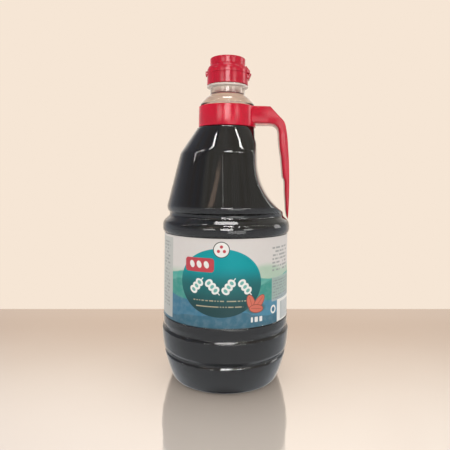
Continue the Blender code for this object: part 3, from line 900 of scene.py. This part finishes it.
def make_bottle():
    """The clear shell: a fine outer skin and its inside, joined at the mouth."""
    outside = split_long(rounded(bottle_outline(), CORNER_REACH), OUTER_STEP)
    inside = split_long(rounded(inside_outline(0.0), CORNER_REACH, steps=2), INNER_STEP)
    bore_radius = NECK_RADIUS - NECK_WALL
    bore = [(bore_radius, NECK_BOTTOM + 0.0006), (bore_radius, MOUTH_HEIGHT)]
    builder = bmesh.new()
    outer_loops = turn_loops(builder, outside, recessed_radius, BOTTLE_ANGLES)
    inner_loops = turn_loops(builder, inside, inner_rule(0.0), BOTTLE_ANGLES)
    inner_loops += turn_loops(builder, bore, angles=BOTTLE_ANGLES)
    skin(builder, outer_loops + list(reversed(inner_loops)))
    shell = finish_object("bottle_shell", builder, clear_pet())
    for plastic in THICK_PETS:
        shell.data.materials.append(thick_pet(*plastic))
    for polygon in shell.data.polygons:
        height = polygon.center.z
        if COLLAR_BOTTOM < height < COLLAR_TOP:
            polygon.material_index = 3
        elif height > DOME_BOTTOM:
            polygon.material_index = 2 if height > DOME_TOP else 1
    dress(shell, "clear_pet", "bottle")


def make_sauce():
    """The soy sauce, which reaches just into the wall and climbs a little at its edge."""
    below = [point for point in inside_outline(-OVERLAP) if point[1] < SAUCE_LEVEL - 0.001]
    edge = SEAT_RADIUS - wall_at(SAUCE_LEVEL) + OVERLAP
    outline = split_long(rounded(below + [(edge, SAUCE_LEVEL)], CORNER_REACH, steps=2), INNER_STEP)
    surface = (edge - MENISCUS, SAUCE_LEVEL - MENISCUS * 0.7)
    outline += curve_points((edge, SAUCE_LEVEL), (edge - MENISCUS * 0.3, surface[1]), surface, 4)
    outline += [(0.0, surface[1])]
    rule = inner_rule(-OVERLAP)
    fill = turned("soy_sauce_fill", outline, dark_sauce(), radius_rule=rule, angles=BOTTLE_ANGLES)
    dress(fill, "soy_sauce", "soy_sauce")


def make_label():
    """The wrap-round label, whose ends lap at the back, with its flat layout in metres as UVs."""
    bottom, top = LABEL_BOTTOM + LABEL_MARGIN, LABEL_TOP - LABEL_MARGIN
    outer = LABEL_INNER + LABEL_THICKNESS

    def lapped(radius, height, angle):
        past_seam = (angle - math.pi / 2) % (2 * math.pi)
        raised = radius > LABEL_INNER and LABEL_LAP_START < past_seam < LABEL_LAP_END
        return radius + (LABEL_LAP_RISE if raised else 0.0)

    edge = LABEL_THICKNESS * 0.3
    outline = [(LABEL_INNER, bottom), (outer - edge, bottom), (outer, bottom + edge)]
    outline += [(outer, height) for height in spaced(bottom + 0.001, top - 0.001, 24)]
    outline += [(outer, top - edge), (outer - edge, top), (LABEL_INNER, top)]
    piece = turned("label_wrap", outline, printed_label(), closed=True, radius_rule=lapped)
    layer = piece.data.uv_layers.new(name="metres")
    for polygon in piece.data.polygons:
        middle = math.atan2(polygon.center.x, -polygon.center.y)
        for loop_index in polygon.loop_indices:
            place = piece.data.vertices[piece.data.loops[loop_index].vertex_index].co
            beyond = math.remainder(math.atan2(place.x, -place.y) - middle, 2 * math.pi)
            layer.data[loop_index].uv = ((middle + beyond) * outer, place.z)
    dress(piece, "label_print", "label")


def soft_block(name, reach, width, bottom, top, slope, material):
    """A rounded block that stands out of the cap to reach in X, with its far top edge lower by slope."""
    side = math.copysign(1.0, reach)
    builder = bmesh.new()
    bmesh.ops.create_cube(builder, size=1.0)
    for vert in builder.verts:
        far, high = vert.co.x > 0, vert.co.z > 0
        depth = abs(reach) if far else ADDITION_ROOT
        level = (top if high else bottom) - (slope if far and high else 0.0)
        vert.co = Vector((side * depth, vert.co.y * width, level))
    rounding = {"offset": ADDITION_ROUNDING, "segments": 4, "profile": 0.5, "affect": "EDGES"}
    bmesh.ops.bevel(builder, geom=list(builder.edges), **rounding)
    return finish_object(name, builder, material)


def make_cap():
    """The flip-top cap: skirt with plug, lid, thumb tab and living hinge."""
    red = red_plastic("cap_red", *CAP_REDS)
    inner, bore = CAP_RADIUS - CAP_WALL, PLUG_RADIUS - PLUG_WALL
    skirt_top, lid_bottom = SEAM_HEIGHT - SEAM_GAP / 2, SEAM_HEIGHT + SEAM_GAP / 2
    seam_radius = CAP_RADIUS - SEAM_DEPTH
    skirt = [(0.0, CAP_CEILING), (inner, CAP_CEILING), (inner, CAP_BOTTOM)]
    skirt += [(CAP_RADIUS, CAP_BOTTOM), (CAP_RADIUS, skirt_top), (seam_radius, skirt_top)]
    skirt += [(seam_radius, SEAM_HEIGHT), (0.0, SEAM_HEIGHT)]
    pieces = [turned("cap_skirt", split_long(rounded(skirt, CAP_EDGE), SKIRT_STEP), red)]

    lid = [(0.0, SEAM_HEIGHT), (seam_radius, SEAM_HEIGHT), (seam_radius, lid_bottom)]
    lid = rounded(lid + [(CAP_RADIUS, lid_bottom), (CAP_RADIUS, FLARE_BOTTOM)], CAP_EDGE)
    flare_end = (LID_RADIUS, FLARE_TOP)
    lid += curve_points(lid[-1], (CAP_RADIUS - FLARE_INSET, FLARE_BEND), flare_end, 12)
    lid_side = (LID_RADIUS, TOTAL_HEIGHT - LID_EDGE)
    lid_top = (LID_RADIUS - LID_EDGE, TOTAL_HEIGHT - LID_CROWN)
    lid += [(LID_RADIUS - 0.0001, FLARE_TOP + 0.0004), lid_side]
    lid += curve_points(lid_side, (LID_RADIUS, lid_top[1]), lid_top, 10)
    lid += [(LID_RADIUS * (1 - share), TOTAL_HEIGHT - LID_CROWN * (1 - share)) for share in (0.4, 0.7)]
    pieces.append(turned("cap_lid", split_long(lid + [(0.0, TOTAL_HEIGHT)], LID_STEP), red))

    plug = [(bore, PLUG_BOTTOM), (PLUG_RADIUS - PLUG_EDGE, PLUG_BOTTOM)]
    plug += [(PLUG_RADIUS, PLUG_BOTTOM + PLUG_EDGE), (PLUG_RADIUS, CAP_CEILING + OVERLAP)]
    plug += [(bore, CAP_CEILING + OVERLAP)]
    pieces.append(turned("cap_plug", plug, natural_plastic_with_painted_glow(), closed=True))

    fold_top = SEAM_HEIGHT - HINGE_FOLD_DROP + HINGE_FOLD_HEIGHT / 2
    fold_bottom = fold_top - HINGE_FOLD_HEIGHT
    for name, reach, width, bottom, top, slope in (
        ("cap_tab", -TAB_REACH, TAB_WIDTH, TAB_BOTTOM, TAB_TOP, TAB_SLOPE),
        ("cap_hinge_base", HINGE_REACH, HINGE_WIDTH, HINGE_BOTTOM, SEAM_HEIGHT - HINGE_GAP, 0.0),
        ("cap_hinge_lid", HINGE_REACH, HINGE_WIDTH, SEAM_HEIGHT + HINGE_GAP, HINGE_TOP, HINGE_SLOPE),
        ("cap_hinge_fold", HINGE_FOLD_REACH, HINGE_FOLD_WIDTH, fold_bottom, fold_top, 0.0),
    ):
        pieces.append(soft_block(name, reach, width, bottom, top, slope, red))
    for piece in pieces:
        dress(piece, "cap_red", "cap")


# Side view of the arm and grip: the outer edge and the inner edge as (x, z), and half the width in y
HANDLE_SECTIONS = (
    ((0.0150, 0.2431), (0.0150, 0.2277), 0.0148),
    ((0.0368, 0.2431), (0.0362, 0.2277), 0.0121),
    ((0.0389, 0.2431), (0.0386, 0.2277), 0.0113),
    ((0.0455, 0.2365), (0.0430, 0.2269), 0.0096),
    ((0.0518, 0.2300), (0.0458, 0.2246), 0.0082),
    ((0.0540, 0.2230), (0.0472, 0.2207), 0.0077),
    ((0.0552, 0.2148), (0.0476, 0.2143), 0.0075),
    ((0.0559, 0.2060), (0.0483, 0.2065), 0.0073),
    ((0.0566, 0.1967), (0.0497, 0.1972), 0.0071),
    ((0.0570, 0.1877), (0.0506, 0.1879), 0.0069),
    ((0.0572, 0.1800), (0.0515, 0.1795), 0.0067),
    ((0.0573, 0.1752), (0.0530, 0.1757), 0.0065),
    ((0.0573, 0.1640), (0.0535, 0.1640), 0.0061),
    ((0.0572, 0.1555), (0.0541, 0.1560), 0.0054),
    ((0.0570, 0.1480), (0.0545, 0.1492), 0.0046),
    ((0.0567, 0.1410), (0.0554, 0.1436), 0.0034),
)
STRAIGHT_SECTIONS = 3


def smooth_between(before, start, end, after, share):
    """A point on a Catmull-Rom curve from start to end."""
    square, cube = share**2, share**3
    return (
        start * (1 - 2.5 * square + 1.5 * cube)
        + end * (0.5 * share + 2 * square - 1.5 * cube)
        - before * (0.5 * share - square + 0.5 * cube)
        - after * (0.5 * square - 0.5 * cube)
    )


def handle_rows():
    """The sections as five numbers each, with smooth rows between them past the straight arm."""
    rows = [Vector((*outer, *inner, half)) for outer, inner, half in HANDLE_SECTIONS]
    fine = rows[:STRAIGHT_SECTIONS]
    for index in range(STRAIGHT_SECTIONS - 1, len(rows) - 1):
        before = rows[max(index - 1, STRAIGHT_SECTIONS - 1)]
        after = rows[min(index + 2, len(rows) - 1)]
        for step in range(1, HANDLE_STEPS + 1):
            share = step / HANDLE_STEPS
            fine.append(smooth_between(before, rows[index], rows[index + 1], after, share))
    return fine


def handle_loop(builder, row):
    """One closed loop of points round a section of the grip, a rectangle with round corners."""
    outer, inner, half_width = Vector(row[0:2]), Vector(row[2:4]), row[4]
    across = inner - outer
    half_depth = across.length / 2
    middle, way = (outer + inner) / 2, across.normalized()
    rounding = min(HANDLE_ROUNDING, half_depth * 0.6, half_width * 0.6)
    loop = []
    for side_depth, side_width, start in ((-1, 1, 180), (1, 1, 90), (1, -1, 0), (-1, -1, -90)):
        for step in range(CORNER_STEPS):
            angle = math.radians(start - 90 * step / (CORNER_STEPS - 1))
            depth = side_depth * (half_depth - rounding) + rounding * math.cos(angle)
            width = side_width * (half_width - rounding) + rounding * math.sin(angle)
            place = middle + way * depth
            loop.append(builder.verts.new((place.x, width, place.y)))
    return loop


def make_handle():
    """The clip-on handle: a ring round the shoulder, an arm and a tapering grip, fused into one."""
    red = red_plastic("handle_red", *HANDLE_REDS)
    outline = [(0.0, RING_BOTTOM), (RING_RADIUS, RING_BOTTOM), (RING_RADIUS, RING_TOP), (0.0, RING_TOP)]
    ring = turned("handle_clip", rounded(outline, RING_EDGE), red)
    low, high = RING_BOTTOM - RING_EDGE, RING_TOP + RING_EDGE
    bore = turned("handle_bore", [(0.0, low), (RING_INNER, low), (RING_INNER, high), (0.0, high)], red)

    builder = bmesh.new()
    loops = [handle_loop(builder, row) for row in handle_rows()]
    skin(builder, loops)
    builder.faces.new(loops[0])
    builder.faces.new(loops[-1])
    arm = finish_object("handle_arm", builder, red)
    combine(ring, arm, "UNION")
    combine(ring, bore, "DIFFERENCE")
    ring.data.set_sharp_from_angle(angle=SHARP_ANGLE)
    dress(ring, "handle_red", "handle")


def combine(piece, helper, operation):
    """Fuses a helper to the piece, or cuts it out of it, and removes the helper."""
    change = piece.modifiers.new("combined", "BOOLEAN")
    change.operation = operation
    change.solver = "EXACT"
    change.object = helper
    bpy.context.view_layer.update()
    evaluated = piece.evaluated_get(bpy.context.evaluated_depsgraph_get())
    mesh = bpy.data.meshes.new_from_object(evaluated)
    piece.modifiers.clear()
    piece.data = mesh
    bpy.data.objects.remove(helper)


# Stage, camera and light


def make_stage():
    """A pale table top whose far edge is a little way behind the bottle."""
    builder = bmesh.new()
    near = FLOOR_BACK_EDGE - FLOOR_SIZE
    slant = FLOOR_SIZE * FLOOR_BACK_SLOPE
    corners = [(-FLOOR_SIZE, near, 0.0), (FLOOR_SIZE, near, 0.0)]
    corners += [(FLOOR_SIZE, FLOOR_BACK_EDGE + slant, 0.0), (-FLOOR_SIZE, FLOOR_BACK_EDGE - slant, 0.0)]
    builder.faces.new([builder.verts.new(corner) for corner in corners])
    table_top = finish_object("table_top", builder, floor_material())
    table_top.visible_glossy = False


def make_camera():
    camera = bpy.data.cameras.new("camera")
    camera.lens = LENS
    camera.sensor_width = LENS
    camera.shift_x = (IMAGE_SIZE / 2 - AXIS_COLUMN) / IMAGE_SIZE
    camera.shift_y = (HORIZON_ROW - IMAGE_SIZE / 2) / IMAGE_SIZE
    camera.clip_start = 0.01
    holder = bpy.data.objects.new("camera", camera)
    place = Matrix.Translation((0.0, -CAMERA_DISTANCE, CAMERA_HEIGHT))
    holder.matrix_world = place @ Matrix.Rotation(math.pi / 2, 4, "X") @ Matrix.Rotation(ROLL, 4, "Z")
    bpy.context.scene.collection.objects.link(holder)
    bpy.context.scene.camera = holder


def window(graph, azimuth, elevation, soft, lean):
    """Mask of a rectangle in the room, between two azimuths and two elevations in degrees.

    lean shifts it by that many degrees of azimuth for each degree of elevation.
    """
    around, rise = graph.angles
    if lean:
        around = graph.math("MULTIPLY_ADD", rise, lean, around)
    edges = []
    for angle, (low, high) in ((around, azimuth), (rise, elevation)):
        edges.append(graph.between(angle, math.radians(low), math.radians(high), math.radians(soft)))
    return graph.product(*edges)


def lamp(graph, across, ahead):
    """Mask of a ceiling lamp, between two places across and ahead for each metre of height."""
    ends = zip(graph.ceiling, (across, ahead))
    edges = [graph.between(place, low, high, LAMP_SOFTNESS) for place, (low, high) in ends]
    return graph.product(graph.math("GREATER_THAN", graph.up, 0.1), *edges)


ROOM_WARM = (0.56, 0.56, 0.53)
ROOM_COOL = (0.27, 0.30, 0.37)
ROOM_BROWN = (0.30, 0.22, 0.17)
ROOM_BEHIND = (1.22, 1.14, 1.06)
HORIZON = (0.74, 0.79, 0.88)
LOW_ROOM = (0.80, 0.83, 0.87)
UNDER_ROOM = (0.26, 0.27, 0.29)
CURTAIN = (2.00, 1.52, 1.24)
WINDOW_LIGHT = (1.0, 0.98, 0.96)
STUDIO_LIGHT = (1.04, 1.02, 1.00)
ZENITH_GLOW = 10.0
LAMP_GLOW = 24.0
LAMP_SOFTNESS = 0.006

# Azimuths, elevations, softness of the edges, lean and glow
WINDOWS = (
    ((-10, 11), (4, 20), 0.8, 0.0, 11.0),
    ((4, 16), (36, 56), 0.8, 0.0, 9.0),
    ((-40, -20), (5, 15), 0.8, 0.0, 4.0),
    ((31, 47), (5, 16), 0.8, 0.0, 4.0),
    ((3, 34), (-16, 3), 2.0, 0.0, 2.2),
    ((96, 112), (3, 24), 1.5, 0.0, 3.0),
    ((3.9, 4.9), (22, 31), 0.4, 0.47, 2.4),
)

# Across and ahead
LAMPS = (
    ((-2.5, -0.385), (-0.215, -0.190)),
    ((0.335, 2.5), (-0.215, -0.190)),
    ((-0.16, 0.22), (-1.08, -0.97)),
    ((0.48, 0.90), (-1.08, -0.97)),
)


def room_colour(graph, direction, y):
    """The dim room that the glossy surfaces mirror, by direction."""
    side = graph.ramp(graph.angles[0], math.radians(-57), math.radians(-45))
    colour = graph.mix(side, ROOM_COOL, ROOM_WARM)
    folds = graph.noise(graph.vector("MULTIPLY", direction, (1.0, 1.0, 0.12)), 5.0, detail=3.0)
    colour = graph.mix(graph.ramp(folds, 0.42, 0.68, 0.0, 0.45), colour, ROOM_BROWN)
    for low, high, share, tone in (
        (-0.05, 0.34, 0.75, HORIZON),
        (-0.22, -0.06, 1.0, LOW_ROOM),
        (-0.98, -0.88, 1.0, UNDER_ROOM),
    ):
        colour = graph.mix(graph.ramp(graph.up, low, high, share, 0.0), colour, tone)
    curtain = window(graph, (-86, -78), (21.5, 28.5), soft=1.8, lean=-2.25)
    colour = graph.mix(curtain, colour, CURTAIN)
    behind = graph.mix(graph.ramp(graph.up, 0.10, 0.26), WALL_COLOUR, ROOM_BEHIND)
    return graph.mix(graph.ramp(y, 0.58, 0.97), colour, behind)


def room_light(graph):
    """The room's colour, and the strength of its windows and ceiling lamps."""
    direction = graph.node("ShaderNodeTexCoord").outputs["Generated"]
    x, y, graph.up = graph.parts(direction)
    around = graph.math("ARCTAN2", x, graph.math("MULTIPLY", y, -1.0))
    graph.angles = (around, graph.math("ARCSINE", graph.up))
    graph.ceiling = [graph.math("DIVIDE", side, graph.up) for side in (x, y)]
    glow = graph.math("MULTIPLY", graph.ramp(graph.up, 0.977, 0.985), ZENITH_GLOW)
    for *place, strength in WINDOWS:
        glow = graph.math("MULTIPLY_ADD", window(graph, *place), strength, glow)
    for across, ahead in LAMPS:
        glow = graph.math("MULTIPLY_ADD", lamp(graph, across, ahead), LAMP_GLOW, glow)
    return room_colour(graph, direction, y), glow


def make_world():
    """Pale wall for the camera, a dim room for reflections and an even studio light for the rest."""
    world = bpy.data.worlds.new("studio")
    world.use_nodes = True
    world.node_tree.nodes.clear()
    graph = Graph(world.node_tree)
    path = graph.node("ShaderNodeLightPath").outputs
    room, glow = room_light(graph)
    first_mirror = graph.math("LESS_THAN", path["Glossy Depth"], 1.5)
    lights = []
    for colour, strength in (
        (STUDIO_LIGHT, 1.0),
        (room, 1.0),
        (WINDOW_LIGHT, graph.math("MULTIPLY", glow, first_mirror)),
        (WALL_COLOUR, 1.0),
    ):
        lights.append(graph.node("ShaderNodeBackground", rgba(colour), strength).outputs[0])
    studio, room_shader, windows, wall = lights
    lit_room = graph.node("ShaderNodeAddShader", room_shader, windows).outputs[0]
    shader = graph.node("ShaderNodeMixShader", path["Is Glossy Ray"], studio, lit_room).outputs[0]
    seen = graph.math("MAXIMUM", path["Is Camera Ray"], path["Is Transmission Ray"])
    shader = graph.node("ShaderNodeMixShader", seen, shader, wall).outputs[0]
    graph.node("ShaderNodeOutputWorld", shader)
    bpy.context.scene.world = world


make_stage()
make_camera()
make_world()
make_bottle()
make_sauce()
make_label()
make_cap()
make_handle()
bpy.context.scene.view_settings.view_transform = "Standard"

bpy.context.view_layer.update()
